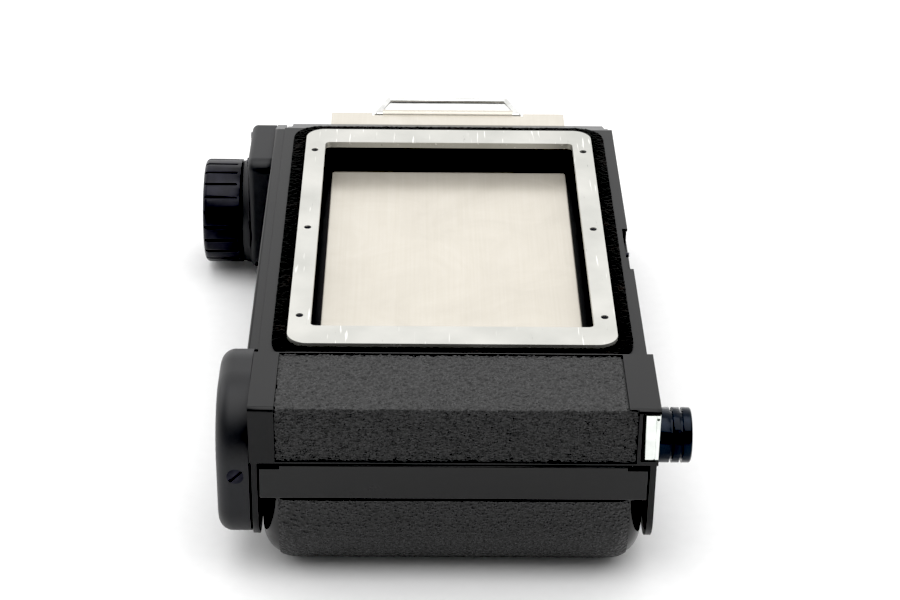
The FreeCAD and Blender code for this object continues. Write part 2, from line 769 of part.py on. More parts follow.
def pressure_carrier():
    """The sheet-metal bridge in the cover that backs the pressure plate."""
    top_z = carrier_top
    half_x = gate_width / 2 - 5.0
    half_y = gate_length / 2 - 8.0
    bridge = box(-half_x, half_x, -half_y, half_y, cover_inner_bottom, top_z)
    room = box(-half_x, half_x, -half_y + carrier_t, half_y - carrier_t,
               cover_inner_bottom + carrier_t, top_z - carrier_t)
    holes = [rod_z(top_z - carrier_t, top_z, x, y, stud_r + 0.1) for x, y in plate_stud_places()]
    return bridge.cut([room] + holes)


def plate_stud_places():
    return [(x, y) for x in (-16.0, 16.0) for y in (-26.0, 26.0)]


def pressure_springs():
    """Two bowed leaf springs between the bridge and the pressure plate."""
    radius = (leaf_span ** 2 + leaf_rise ** 2) / (2 * leaf_rise)
    axis_z = carrier_top + leaf_rise + 0.2 - radius
    springs = []
    for y in (-14.0, 14.0):
        y0 = y - leaf_half_width
        y1 = y + leaf_half_width
        bow = rod_y(y0, y1, 0, axis_z, radius)
        inside = rod_y(y0, y1, 0, axis_z, radius - leaf_t)
        keep = box(-leaf_span, leaf_span, y0, y1, carrier_top, carrier_top + leaf_rise + 0.3)
        springs.append(bow.cut(inside).common(keep))
    return group(springs)


def pressure_plate():
    """The flat plate that holds the film against the gate rails."""
    plate = box(-film_width / 2 + 0.3, film_width / 2 - 0.3, -roller_y + 3.4, roller_y - 3.4,
                film_z - 1.8, film_z - 0.3)
    return round_edges(plate, 1.0, lambda b: b.XLength > 10 and b.ZMin > film_z - 0.5)


def plate_studs():
    """The four headed studs that keep the pressure plate on its bridge."""
    seat = carrier_top - 1.5
    studs = []
    for x, y in plate_stud_places():
        shank = rod_z(seat, film_z - 1.8, x, y, stud_r)
        head = rod_z(seat - 0.8, seat, x, y, 2.0)
        studs.append(joined(shank, head))
    return group(studs)


# ------------------------------------------------------------------ latch


def latch_button():
    """The chrome push piece at the front corner."""
    piece = box(latch_x0, body_half - 0.1, front_y, arm_y, latch_z0, latch_z1)
    return round_edges(piece, 0.5, lambda b: b.YMax < front_y + 0.1)


def latch_hook():
    """The steel arm behind the button, with the hook that holds the cover."""
    inner_x = film_plate_out + 2.3
    outer_x = ear_in - 0.6
    arm = box(latch_x0, outer_x, arm_y, hook_y, arm_z0, arm_z1)
    plate = box(inner_x, outer_x, hook_y, hook_back_y, hook_bottom, arm_z1)
    foot = box(inner_x, outer_x, front_y + 2.0, hook_back_y, hook_bottom, hook_top)
    return joined(arm, plate, foot)


def latch_spring():
    return helix_spring(1.0, 0.2, 5.5, 5, V(latch_x0 + 0.1, hook_back_y, latch_mid_z), V(0, 1, 0))


# ------------------------------------------------------------------ knobs, shafts and spools


def supply_knob():
    """The turned pull knob with two narrow grooves."""
    x0 = ear_out + 0.6
    x1 = body_half + pull_knob_out
    knob = rod_x(x0, x1, supply_y, supply_z, pull_knob_r)
    knob = round_edges(knob, 0.5, lambda b: b.XLength < 0.1 and b.YLength > 5)
    cuts = []
    for x in (x0 + 3.3, x0 + 5.4):
        ring = rod_x(x, x + 0.6, supply_y, supply_z, pull_knob_r + 0.1)
        cuts.append(ring.cut(rod_x(x, x + 0.6, supply_y, supply_z, pull_knob_r - 0.75)))
    cuts.append(rod_x(x0, x0 + 5.0, supply_y, supply_z, plunger_neck_r))
    return knob.cut(cuts)


def supply_plunger():
    """The spindle that the pull knob draws out of the supply spool."""
    tip = rod_x(spool_half - 3.5, film_plate_in + 0.2, supply_y, supply_z, plunger_tip_r)
    neck = rod_x(film_plate_in + 0.2, ear_out + 5.6, supply_y, supply_z, plunger_neck_r)
    return joined(tip, neck)


def film_spool(y, z, drive_side):
    """A slotted roll-film spool; the winding shaft's key drives one end."""
    core = rod_x(-spool_half, spool_half, y, z, spool_core_r)
    flanges = [rod_x(-spool_half, -spool_half + spool_flange_t, y, z, spool_flange_r),
               rod_x(spool_half - spool_flange_t, spool_half, y, z, spool_flange_r)]
    spool = joined(core, *flanges)
    sockets = [rod_x(-spool_half, -spool_half + 5.0, y, z, spool_socket_r),
               rod_x(spool_half - 5.0, spool_half, y, z, spool_socket_r)]
    slot = box(-spool_half, -spool_half + 5.0, y - 1.0, y + 1.0, z - 5.2, z + 5.2)
    leader_slot = box(-film_width / 2 + 3.0, film_width / 2 - 3.0, y - 10, y + 10, z - 0.6, z + 0.6)
    core_slots = sockets + [leader_slot]
    if drive_side:
        core_slots.append(slot)
    return spool.cut(core_slots)


def guide_roller(y):
    """A turned roller with a bore at each end for its stub pins."""
    half = film_width / 2
    roller = rod_x(-half, half, y, roller_z, roller_r)
    bore_r = roller_pin_r + fit_gap
    bores = [rod_x(-half, -half + 3.3, y, roller_z, bore_r),
             rod_x(half - 3.3, half, y, roller_z, bore_r)]
    return roller.cut(bores)


def wind_knob():
    """The big winding knob, with grooves along its rim and a dished face."""
    knob = rod_x(knob_x0, knob_x1, takeup_y, takeup_z, knob_r)
    knob = round_edges(knob, 1.2, lambda b: b.XMax < knob_x0 + 0.1)
    cuts = []
    for i in range(knob_grooves):
        angle = 360.0 * i / knob_grooves
        groove = box(knob_x0 - 1, knob_x1 - 0.9, takeup_y - 0.3, takeup_y + 0.3,
                     takeup_z + knob_r - 0.5, takeup_z + knob_r + 1)
        groove.rotate(V(0, takeup_y, takeup_z), V(1, 0, 0), angle)
        cuts.append(groove)
    cuts.append(rod_x(knob_x0, knob_x0 + 0.9, takeup_y, takeup_z, knob_r - 3.2))
    cuts.append(rod_x(knob_x0, knob_x1, takeup_y, takeup_z, shaft_r))
    return knob.cut(cuts)


def wind_shaft():
    """The winding shaft: knob seat, long journal and the key in the take-up spool."""
    journal = rod_x(knob_x0 + 2.2, -film_plate_in + 0.3, takeup_y, takeup_z, shaft_r)
    key = box(-film_plate_in + 0.3, -spool_half + 3.5, takeup_y - 0.8, takeup_y + 0.8,
              takeup_z - 4.8, takeup_z + 4.8)
    hub = rod_x(-film_plate_in + 0.3, -spool_half + 3.5, takeup_y, takeup_z, plunger_tip_r)
    return joined(journal, key, hub)


def wind_knob_screw():
    """The slotted screw that clamps the knob on its shaft."""
    head = rod_x(knob_x0 + 0.9 - 0.6, knob_x0 + 2.2, takeup_y, takeup_z, shaft_r)
    slot = box(knob_x0, knob_x0 + 0.9, takeup_y - 3, takeup_y + 3, takeup_z - 0.4, takeup_z + 0.4)
    return head.cut(slot)


def spur_gear(x0, x1, y, z, teeth, phase_deg, bore_r):
    """A gear with straight-sided teeth, thinned for easy running."""
    pitch_r = gear_module * teeth / 2
    root_r = pitch_r - 0.6
    tip_r = pitch_r + 0.38
    wheel = rod_x(x0, x1, y, z, root_r)
    solids = []
    for i in range(teeth):
        tooth = prism_x(x0, x1, [(y - 0.36, z + root_r - 0.2), (y - 0.13, z + tip_r),
                                 (y + 0.13, z + tip_r), (y + 0.36, z + root_r - 0.2)])
        tooth.rotate(V(x0, y, z), V(1, 0, 0), phase_deg + 360.0 * i / teeth)
        solids.append(tooth)
    return joined(wheel, *solids).cut(rod_x(x0, x1, y, z, bore_r))


def mesh_angle():
    """The direction from the winding shaft to the counter, from +Z towards -Y."""
    return -math.degrees(math.atan2(counter_dy, counter_dz))


def wind_pinion():
    return spur_gear(gear_x0, gear_x1, takeup_y, takeup_z, pinion_teeth, mesh_angle(), shaft_r)


def counter_wheel():
    """The exposure counter: a gear wheel with its number drum."""
    phase = mesh_angle() + 180.0 + 180.0 / counter_teeth
    bore_r = counter_pin_r + fit_gap
    gear = spur_gear(gear_x0, gear_x1, counter_y, counter_z, counter_teeth, phase, bore_r)
    drum = rod_x(drum_x0, gear_x0, counter_y, counter_z, 4.3)
    drum = drum.cut(rod_x(drum_x0, gear_x0, counter_y, counter_z, bore_r))
    return joined(gear, drum)


def wind_ratchet():
    """The ratchet wheel that stops the shaft from turning back."""
    wheel = rod_x(ratchet_x0, ratchet_x1, takeup_y, takeup_z, ratchet_r - 0.9)
    teeth = []
    for i in range(ratchet_teeth):
        tooth = prism_x(ratchet_x0, ratchet_x1, [
            (takeup_y - 1.1, takeup_z + ratchet_r - 1.2),
            (takeup_y + 1.0, takeup_z + ratchet_r - 1.2),
            (takeup_y + 0.9, takeup_z + ratchet_r - 0.12)])
        tooth.rotate(V(0, takeup_y, takeup_z), V(1, 0, 0), 360.0 * i / ratchet_teeth)
        teeth.append(tooth)
    return joined(wheel, *teeth).cut(rod_x(ratchet_x0, ratchet_x1, takeup_y, takeup_z, shaft_r))


def pawl():
    """The pawl that drops into the ratchet's teeth."""
    hub = rod_x(ratchet_x0, ratchet_x1, pawl_y, pawl_z, 1.7)
    arm = prism_x(ratchet_x0, ratchet_x1, [
        (pawl_y - 1.6, pawl_z), (pawl_y - 0.3, pawl_z + 5.0), (pawl_y + 1.3, pawl_z + 5.3),
        (pawl_y + 1.6, pawl_z)])
    return joined(hub, arm).cut(rod_x(ratchet_x0, ratchet_x1, pawl_y, pawl_z,
                                      pawl_pin_r + fit_gap))


def all_parts():
    """Every node's name and shape."""
    return {
        "body_casting": body_casting(),
        "left_side_plate": left_side_plate(),
        "right_side_plate": right_side_plate(),
        "side_plate_screws": side_plate_screws(),
        "left_film_plate": film_plate(-1),
        "right_film_plate": film_plate(1),
        "gate_plate": gate_plate(),
        "slide_guide": slide_guide(),
        "slide_trap_felt": slide_trap_felt(),
        "light_well": light_well(),
        "mount_frame": mount_frame(),
        "mount_frame_screws": mount_frame_screws(),
        "velvet_seal": velvet_seal(),
        "chamber_leatherette": chamber_leatherette(),
        "left_end_cap": left_end_cap(),
        "end_cap_screws": end_cap_screws(),
        "side_cover": side_cover(),
        "wind_housing": wind_housing(),
        "counter_window": counter_window(),
        "housing_screws": housing_screws(),
        "wind_bearing": wind_bearing(),
        "roller_pins": roller_pins(),
        "supply_left_stud": supply_left_stud(),
        "takeup_right_stud": takeup_right_stud(),
        "plunger_sleeve": plunger_sleeve(),
        "knob_washer": knob_washer(),
        "plunger_spring": plunger_spring(),
        "counter_pin": counter_pin(),
        "pawl_pin": pawl_pin(),
        "hinge_pin": hinge_pin(),
        "lip_velvet": lip_velvet(),
        "interlock_pin": interlock_pin(),
        "dark_slide": dark_slide(),
        "slide_pull": slide_pull(),
        "back_cover": back_cover(),
        "cover_leatherette": cover_leatherette(),
        "latch_keeper": latch_keeper(),
        "pressure_carrier": pressure_carrier(),
        "pressure_springs": pressure_springs(),
        "pressure_plate": pressure_plate(),
        "plate_studs": plate_studs(),
        "latch_button": latch_button(),
        "latch_hook": latch_hook(),
        "latch_spring": latch_spring(),
        "supply_knob": supply_knob(),
        "supply_plunger": supply_plunger(),
        "supply_spool": film_spool(supply_y, supply_z, False),
        "takeup_spool": film_spool(takeup_y, takeup_z, True),
        "supply_roller": guide_roller(-roller_y),
        "takeup_roller": guide_roller(roller_y),
        "wind_knob": wind_knob(),
        "wind_shaft": wind_shaft(),
        "wind_knob_screw": wind_knob_screw(),
        "wind_pinion": wind_pinion(),
        "wind_ratchet": wind_ratchet(),
        "counter_wheel": counter_wheel(),
        "pawl": pawl(),
    }


os.makedirs("parts", exist_ok=True)
for name, shape in all_parts().items():
    shape.exportStep("parts/" + name + ".step")
    print(name, "solids", len(shape.Solids), "valid", shape.isValid(),
          "volume", round(shape.Volume, 1))
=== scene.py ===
# %% [markdown]
# # A roll-film magazine
# The object is a roll-film magazine for a press camera: a black die-cast body with a silver seating
# frame, a bright dark slide, a winding knob and a hinged back cover. The CAD frame already holds every
# size and every joint. This lesson gives it its surfaces, and rebuilds three pieces whose look needs
# more than a solid: the chamber's pebbled covering, the pile seal and the chrome latch.

# %% Load the frame
import bpy
import json
import math
from mathutils import Matrix, Vector


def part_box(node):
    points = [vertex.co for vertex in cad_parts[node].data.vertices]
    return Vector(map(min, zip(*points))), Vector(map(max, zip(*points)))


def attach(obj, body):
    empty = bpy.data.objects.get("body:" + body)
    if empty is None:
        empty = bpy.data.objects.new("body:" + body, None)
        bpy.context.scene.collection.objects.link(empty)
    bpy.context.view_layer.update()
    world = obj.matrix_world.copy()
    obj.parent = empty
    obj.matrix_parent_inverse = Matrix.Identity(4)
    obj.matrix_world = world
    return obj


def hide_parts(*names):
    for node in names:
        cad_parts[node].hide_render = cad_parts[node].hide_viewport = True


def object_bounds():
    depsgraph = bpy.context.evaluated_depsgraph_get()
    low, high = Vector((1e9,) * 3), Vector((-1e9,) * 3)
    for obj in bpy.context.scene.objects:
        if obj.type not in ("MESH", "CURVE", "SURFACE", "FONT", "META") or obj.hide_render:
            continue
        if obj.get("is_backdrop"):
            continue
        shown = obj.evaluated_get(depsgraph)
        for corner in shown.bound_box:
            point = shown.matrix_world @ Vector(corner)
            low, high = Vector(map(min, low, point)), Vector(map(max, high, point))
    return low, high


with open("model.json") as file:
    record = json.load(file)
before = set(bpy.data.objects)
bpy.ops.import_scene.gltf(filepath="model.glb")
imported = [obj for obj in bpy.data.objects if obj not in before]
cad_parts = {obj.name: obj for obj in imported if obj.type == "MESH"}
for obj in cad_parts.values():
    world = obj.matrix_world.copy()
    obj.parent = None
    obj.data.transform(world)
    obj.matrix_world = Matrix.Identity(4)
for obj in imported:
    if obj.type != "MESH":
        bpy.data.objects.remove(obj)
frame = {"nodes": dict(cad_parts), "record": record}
cad_low, cad_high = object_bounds()
print("CAD box in mm:", [round(v * 1000, 1) for v in (*cad_low, *cad_high)])

# %% [markdown]
# ## Small helpers
# Sizes on a drawing are in millimetres and Blender works in metres, so one name turns one into the
# other. Colours are picked as the hex values of a paint chart, which are gamma coded, and a shader wants
# linear light, so one function does that for every material.

# %% Units, colour and a node helper
MM = 0.001


def linear(hex_colour):
    """A paint-chart colour such as 1A2B3C as linear light with alpha."""
    out = []
    for i in (0, 2, 4):
        value = int(hex_colour[i:i + 2], 16) / 255
        out.append(value / 12.92 if value <= 0.04045 else ((value + 0.055) / 1.055) ** 2.4)
    return (*out, 1.0)


def add(tree, kind, settings=None, links=None):
    """A shader node with its settings, which are properties or unlinked inputs, and its links."""
    made = tree.nodes.new(kind)
    for key, value in (settings or {}).items():
        if isinstance(key, int) or key in made.inputs:
            made.inputs[key].default_value = value
        else:
            setattr(made, key, value)
    for key, socket in (links or {}).items():
        tree.links.new(socket, made.inputs[key])
    return made


def new_material(name):
    """An empty material, with its tree, its shader and the piece's own coordinates."""
    material = bpy.data.materials.new(name)
    material.use_nodes = True
    tree = material.node_tree
    shader = tree.nodes["Principled BSDF"]
    place = add(tree, "ShaderNodeTexCoord").outputs["Object"]
    return material, tree, shader, place


def per_metre(size_mm):
    """The texture scale at which one cell of a pattern is this many millimetres."""
    return 1000.0 / size_mm


def ramp(tree, factor, stops):
    """A colour ramp from (position, colour) stops."""
    made = add(tree, "ShaderNodeValToRGB", links={"Fac": factor})
    points = made.color_ramp.elements
    while len(points) < len(stops):
        points.new(0.5)
    for point, (position, colour) in zip(points, stops):
        point.position = position
        point.color = colour
    return made.outputs["Color"]


def set_shader(shader, **values):
    """Constants on the shader's own sockets, written with underscores for spaces."""
    for key, value in values.items():
        shader.inputs[key.replace("_", " ")].default_value = value


def grey(value):
    return (value, value, value, 1.0)


print("helpers ready")

# %% [markdown]
# ## Satin aluminium: the seating frame
# The frame is milled aluminium, etched and anodised clear. Anodising leaves a fine even frost, so the
# highlight is broad, and handling leaves hair scratches that are a little brighter, and nicks where
# grime has settled. The frost is a fine noise in the bump, and the scratches and nicks are noises
# squeezed hard in one direction and cut off at a level that few places pass.

# %% Satin aluminium
def satin_aluminium():
    material, tree, shader, place = new_material("anodised_satin_aluminium")
    frost = add(tree, "ShaderNodeTexNoise", {"Scale": per_metre(0.35), "Detail": 4.0}, {"Vector": place})
    stretch = add(tree, "ShaderNodeMapping", {"Scale": (1.0, 0.06, 1.0), "Rotation": (0, 0, 0.35)},
                  {"Vector": place})
    hairs = add(tree, "ShaderNodeTexNoise", {"Scale": per_metre(0.8), "Detail": 2.0},
                {"Vector": stretch.outputs["Vector"]})
    scratch = ramp(tree, hairs.outputs["Fac"], [(0.0, grey(0)), (0.66, grey(0)), (0.72, grey(1))])
    cloud = add(tree, "ShaderNodeTexNoise", {"Scale": per_metre(14), "Detail": 5.0}, {"Vector": place})
    tint = ramp(tree, cloud.outputs["Fac"], [(0.3, linear("BFBFBA")), (0.7, linear("D2D1CC"))])
    bright = add(tree, "ShaderNodeMix", {"data_type": "RGBA", 7: linear("EFEEEA")},
                 {0: scratch, 6: tint})
    dirt = add(tree, "ShaderNodeTexNoise", {"Scale": per_metre(1.1), "Detail": 7.0, "Roughness": 0.75},
               {"Vector": stretch.outputs["Vector"]})
    chips = ramp(tree, dirt.outputs["Fac"], [(0.0, grey(1)), (0.31, grey(1)), (0.36, grey(0))])
    colour = add(tree, "ShaderNodeMix", {"data_type": "RGBA", 7: linear("4A4A48")},
                 {0: chips, 6: bright.outputs[2]})
    tree.links.new(colour.outputs[2], shader.inputs["Base Color"])
    rough = add(tree, "ShaderNodeMapRange", {"To Min": 0.44, "To Max": 0.56},
                {"Value": cloud.outputs["Fac"]})
    tree.links.new(rough.outputs["Result"], shader.inputs["Roughness"])
    bump = add(tree, "ShaderNodeBump", {"Strength": 0.25, "Distance": 0.02 * MM},
               {"Height": frost.outputs["Fac"]})
    tree.links.new(bump.outputs["Normal"], shader.inputs["Normal"])
    set_shader(shader, Metallic=0.85)
    return material


# %% [markdown]
# ## Bright steel sheet: the dark slide
# A dark slide is spring steel, ground bright and rubbed by felt each time it is drawn. The grinding runs
# along the slide, so the sheen is drawn out that way, and fingers leave faint clouds on it. Metallic is
# kept under a half, less than bare steel has, which holds the sheet's tone light from every side.

# %% Dark slide steel
def slide_steel():
    material, tree, shader, place = new_material("ground_bright_steel")
    along = add(tree, "ShaderNodeMapping", {"Scale": (1.0, 0.02, 1.0)}, {"Vector": place})
    grind = add(tree, "ShaderNodeTexNoise", {"Scale": per_metre(0.5), "Detail": 6.0},
                {"Vector": along.outputs["Vector"]})
    smudge = add(tree, "ShaderNodeTexNoise", {"Scale": per_metre(22), "Detail": 6.0, "Roughness": 0.62,
                                              "Distortion": 1.2}, {"Vector": place})
    tint = ramp(tree, smudge.outputs["Fac"],
                [(0.3, linear("CBC6BC")), (0.55, linear("D1CCC2")), (0.75, linear("D6D1C8"))])
    line = ramp(tree, grind.outputs["Fac"], [(0.3, linear("EAE6DD")), (0.7, linear("FBF8F2"))])
    colour = add(tree, "ShaderNodeMix", {"data_type": "RGBA", "blend_type": "MULTIPLY", 0: 0.3},
                 {6: tint, 7: line})
    tree.links.new(colour.outputs[2], shader.inputs["Base Color"])
    rough = add(tree, "ShaderNodeMapRange", {"To Min": 0.2, "To Max": 0.27},
                {"Value": smudge.outputs["Fac"]})
    tree.links.new(rough.outputs["Result"], shader.inputs["Roughness"])
    bump = add(tree, "ShaderNodeBump", {"Strength": 0.12, "Distance": 0.02 * MM},
               {"Height": grind.outputs["Fac"]})
    tree.links.new(bump.outputs["Normal"], shader.inputs["Normal"])
    set_shader(shader, Metallic=0.45)
    return material


# %% [markdown]
# ## Black enamels
# The outer pieces are enamelled black, each with its own gloss: the casting, its side plates and its
# side cover are satin, the cap and gear housing have a slight texture, and the back cover is smoother
# and shinier. The pieces round the film are lacquered dull, so that no stray light reaches it. One recipe
# serves them all, because only the gloss, the orange peel and the wear differ.

# %% Enamel recipe
def enamel(name, colour, worn, roughness, peel_mm, peel_depth, coat, shine=0.4):
    material, tree, shader, place = new_material(name)
    peel = add(tree, "ShaderNodeTexNoise", {"Scale": per_metre(peel_mm), "Detail": 3.0},
               {"Vector": place})
    rub = add(tree, "ShaderNodeTexNoise", {"Scale": per_metre(9), "Detail": 8.0, "Roughness": 0.7},
              {"Vector": place})
    tint = ramp(tree, rub.outputs["Fac"], [(0.35, linear(colour)), (0.8, linear(worn))])
    tree.links.new(tint, shader.inputs["Base Color"])
    rough = add(tree, "ShaderNodeMapRange", {"To Min": roughness - 0.06, "To Max": roughness + 0.08},
                {"Value": rub.outputs["Fac"]})
    tree.links.new(rough.outputs["Result"], shader.inputs["Roughness"])
    bump = add(tree, "ShaderNodeBump", {"Strength": 0.3, "Distance": peel_depth * MM},
               {"Height": peel.outputs["Fac"]})
    tree.links.new(bump.outputs["Normal"], shader.inputs["Normal"])
    set_shader(shader, Coat_Weight=coat, Coat_Roughness=0.12, Specular_IOR_Level=shine)
    return material


# %% [markdown]
# ## Leatherette
# The covering is a coated cloth pressed with a pebble grain. Each pebble is about 0.8 mm across, domed,
# with a crease round it, and its crown is polished by handling, so it catches the light as a bright
# point while the creases stay dull. The colour is painted lighter on the crowns, a painted highlight,
# and darker in the creases, a painted shade. The bump draws the pebbles and their pores on both
# coverings. The chamber's covering has pebbles in its mesh as well, and the back cover's has none there.

# %% Leatherette
def leatherette():
    material, tree, shader, place = new_material("pebbled_leatherette")
    warp = add(tree, "ShaderNodeTexNoise", {"Scale": per_metre(1.6), "Detail": 2.0}, {"Vector": place})
    shift = add(tree, "ShaderNodeVectorMath", {"operation": "SCALE", "Scale": 0.5 * MM},
                {0: warp.outputs["Color"]})
    moved = add(tree, "ShaderNodeVectorMath", {"operation": "ADD"},
                {0: place, 1: shift.outputs["Vector"]})
    pebble = add(tree, "ShaderNodeTexVoronoi", {"Scale": per_metre(0.75), "feature": "F1"},
                 {"Vector": moved.outputs["Vector"]})
    pore = add(tree, "ShaderNodeTexNoise", {"Scale": per_metre(0.25), "Detail": 3.0}, {"Vector": place})
    crown = ramp(tree, pebble.outputs["Distance"], [(0.1, grey(1)), (0.55, grey(0.35)), (0.85, grey(0))])
    height = add(tree, "ShaderNodeMath", {"operation": "MULTIPLY_ADD", 1: 0.3},
                 {0: pore.outputs["Fac"], 2: crown})
    # The base colour is painted lighter on the crowns and darker in the creases, following the pebble
    # height: a painted highlight and a painted shade.
    tint = ramp(tree, height.outputs[0], [(0.1, linear("030303")), (0.6, linear("0A0A0B")),
                                          (1.0, linear("161618"))])
    tree.links.new(tint, shader.inputs["Base Color"])
    rough = add(tree, "ShaderNodeMapRange", {"To Min": 0.55, "To Max": 0.2}, {"Value": crown})
    tree.links.new(rough.outputs["Result"], shader.inputs["Roughness"])
    bump = add(tree, "ShaderNodeBump", {"Strength": 1.0, "Distance": 0.3 * MM},
               {"Height": height.outputs[0]})
    tree.links.new(bump.outputs["Normal"], shader.inputs["Normal"])
    set_shader(shader, Specular_IOR_Level=0.7)
    return material


# %% [markdown]
# ## Pile, metals and plastics
# Velvet pile is near black and edges bright where its fibres are seen side on, which is what sheen
# gives. Plated and turned metals differ in tint and in how far their tool marks spread the highlight,
# so one recipe serves them, with fine marks drawn out across X, the axis on which the knobs, spools and
# shafts turn. Fibre and moulded plastic have a soft broken colour and no metal in them.

# %% Pile
def pile():
    material, tree, shader, place = new_material("black_velvet_pile")
    tuft = add(tree, "ShaderNodeTexNoise", {"Scale": per_metre(0.5), "Detail": 6.0, "Roughness": 0.7},
               {"Vector": place})
    patch = add(tree, "ShaderNodeTexNoise", {"Scale": per_metre(7), "Detail": 3.0}, {"Vector": place})
    mixed = add(tree, "ShaderNodeMath", {"operation": "MULTIPLY"},
                {0: tuft.outputs["Fac"], 1: patch.outputs["Fac"]})
    tint = ramp(tree, mixed.outputs[0], [(0.12, linear("020202")), (0.32, linear("0A0A0A")),
                                         (0.5, linear("2A2624"))])
    tree.links.new(tint, shader.inputs["Base Color"])
    bump = add(tree, "ShaderNodeBump", {"Strength": 0.8, "Distance": 0.15 * MM},
               {"Height": tuft.outputs["Fac"]})
    tree.links.new(bump.outputs["Normal"], shader.inputs["Normal"])
    set_shader(shader, Roughness=0.95, Sheen_Weight=0.12, Sheen_Roughness=0.4,
               Specular_IOR_Level=0.15)
    return material


# %% Plated and turned metals
def metal(name, dark, light, roughness, grain_mm, depth, metallic=1.0):
    material, tree, shader, place = new_material(name)
    turned = add(tree, "ShaderNodeMapping", {"Scale": (1.0, 0.08, 0.08)}, {"Vector": place})
    marks = add(tree, "ShaderNodeTexNoise", {"Scale": per_metre(grain_mm), "Detail": 4.0},
                {"Vector": turned.outputs["Vector"]})
    haze = add(tree, "ShaderNodeTexNoise", {"Scale": per_metre(4), "Detail": 5.0}, {"Vector": place})
    tint = ramp(tree, haze.outputs["Fac"], [(0.3, linear(dark)), (0.65, linear(light))])
    tree.links.new(tint, shader.inputs["Base Color"])
    rough = add(tree, "ShaderNodeMapRange", {"To Min": roughness * 0.7, "To Max": roughness * 1.3},
                {"Value": haze.outputs["Fac"]})
    tree.links.new(rough.outputs["Result"], shader.inputs["Roughness"])
    bump = add(tree, "ShaderNodeBump", {"Strength": 0.2, "Distance": depth * MM},
               {"Height": marks.outputs["Fac"]})
    tree.links.new(bump.outputs["Normal"], shader.inputs["Normal"])
    set_shader(shader, Metallic=metallic)
    return material


# %% Fibre, plastic and the clear window
def moulded(name, dark, light, roughness, grain_mm):
    material, tree, shader, place = new_material(name)
    grain = add(tree, "ShaderNodeTexNoise", {"Scale": per_metre(grain_mm), "Detail": 6.0},
                {"Vector": place})
    tint = ramp(tree, grain.outputs["Fac"], [(0.3, linear(dark)), (0.7, linear(light))])
    tree.links.new(tint, shader.inputs["Base Color"])
    bump = add(tree, "ShaderNodeBump", {"Strength": 0.2, "Distance": 0.03 * MM},
               {"Height": grain.outputs["Fac"]})
    tree.links.new(bump.outputs["Normal"], shader.inputs["Normal"])
    set_shader(shader, Roughness=roughness)
    return material


def clear_window():
    material, tree, shader, place = new_material("clear_acrylic")
    dust = add(tree, "ShaderNodeTexNoise", {"Scale": per_metre(0.6), "Detail": 4.0}, {"Vector": place})
    rough = add(tree, "ShaderNodeMapRange", {"To Min": 0.03, "To Max": 0.15},
                {"Value": dust.outputs["Fac"]})
    tree.links.new(rough.outputs["Result"], shader.inputs["Roughness"])
    set_shader(shader, Transmission_Weight=1.0, IOR=1.49)
    return material


# %% Make the finishes and give each CAD node its own
# An enamel's numbers are roughness, peel size and peel depth in mm, coat and shine, a metal's are
# roughness, mark size and mark depth in mm and metallic, and a plastic's are roughness and grain in mm.
FINISHES = {
    "satin_aluminium": satin_aluminium(),
    "slide_steel": slide_steel(),
    "satin_black_enamel": enamel("satin_black_enamel", "0C0C0D", "151516", 0.34, 0.5, 0.012, 0.0),
    "satin_black_cap": enamel("textured_black_enamel", "0E0E10", "1B1C20", 0.46, 0.35, 0.03, 0.0, 0.5),
    "gloss_black_enamel": enamel("semi_gloss_black_enamel", "0A0A0A", "101011", 0.24, 0.8, 0.008, 0.2),
    "matt_black_lacquer": enamel("matt_black_lacquer", "070708", "0E0E0F", 0.6, 0.3, 0.02, 0.0, 0.25),
    "blackened_steel": metal("blackened_steel", "2C2C2F", "404046", 0.4, 0.2, 0.01),
    "leatherette": leatherette(),
    "black_pile": pile(),
    "chrome_wire": metal("chrome_plated_wire", "C9C9C6", "E4E4E2", 0.12, 0.3, 0.004),
    "chrome_button": metal("bright_chrome_plate", "D2D6D2", "EEF2EE", 0.1, 0.5, 0.004),
    "bright_steel": metal("bright_turned_steel", "8C8C8C", "B4B4B4", 0.28, 0.2, 0.01),
    "bronze": metal("turned_bronze", "8A6A38", "B08C4E", 0.32, 0.2, 0.01),
    "knob_black": metal("blue_black_plating", "0A0E14", "161D28", 0.2, 0.25, 0.008, 0.6),
    "wind_knob_black": metal("black_anodised_alloy", "121216", "22222A", 0.36, 0.3, 0.02, 0.5),
    "red_fibre": moulded("red_vulcanised_fibre", "6E1E14", "A03A28", 0.6, 0.3),
    "spool_plastic": moulded("moulded_black_plastic", "111113", "1C1C1F", 0.35, 1.2),
    "clear_window": clear_window(),
}


def finish_of(node):
    return next(s["material_slot"] for s in frame["record"]["subparts"] if s["node"] == node)


for node_name, cad_object in frame["nodes"].items():
    cad_object.data.materials.clear()
    cad_object.data.materials.append(FINISHES[finish_of(node_name)])
print(len(frame["nodes"]), "CAD nodes finished with", len(FINISHES), "materials")


# %% [markdown]
# ## Soft edges on the enamelled pieces
# A casting or pressing never has a razor edge: paint pulls into a small round there, and that round is
# what catches a thin line of light. A bevel of a fraction of a millimetre on the CAD pieces gives it,
# after a weld has joined the faces so that the bevel sees one skin.

# %% Bevel the hard edges
def soften(node, width_mm, segments=2, angle=40):
    """Weld a CAD piece's faces and bevel its edges that are sharper than the angle."""
    cad = frame["nodes"][node]
    weld = cad.modifiers.new("weld", "WELD")
    weld.merge_threshold = 0.005 * MM
    bevel = cad.modifiers.new("soft_edge", "BEVEL")
    bevel.width = width_mm * MM
    bevel.segments = segments
    bevel.limit_method = "ANGLE"
    bevel.angle_limit = math.radians(angle)
    bevel.harden_normals = True


SOFT_EDGES = {
    "body_casting": 0.25, "left_side_plate": 0.2, "right_side_plate": 0.2, "side_cover": 0.3,
    "back_cover": 0.2, "wind_housing": 0.3, "supply_knob": 0.15, "wind_knob": 0.12,
}
for node_name, width_mm in SOFT_EDGES.items():
    soften(node_name, width_mm)
print("softened", len(SOFT_EDGES), "pieces")

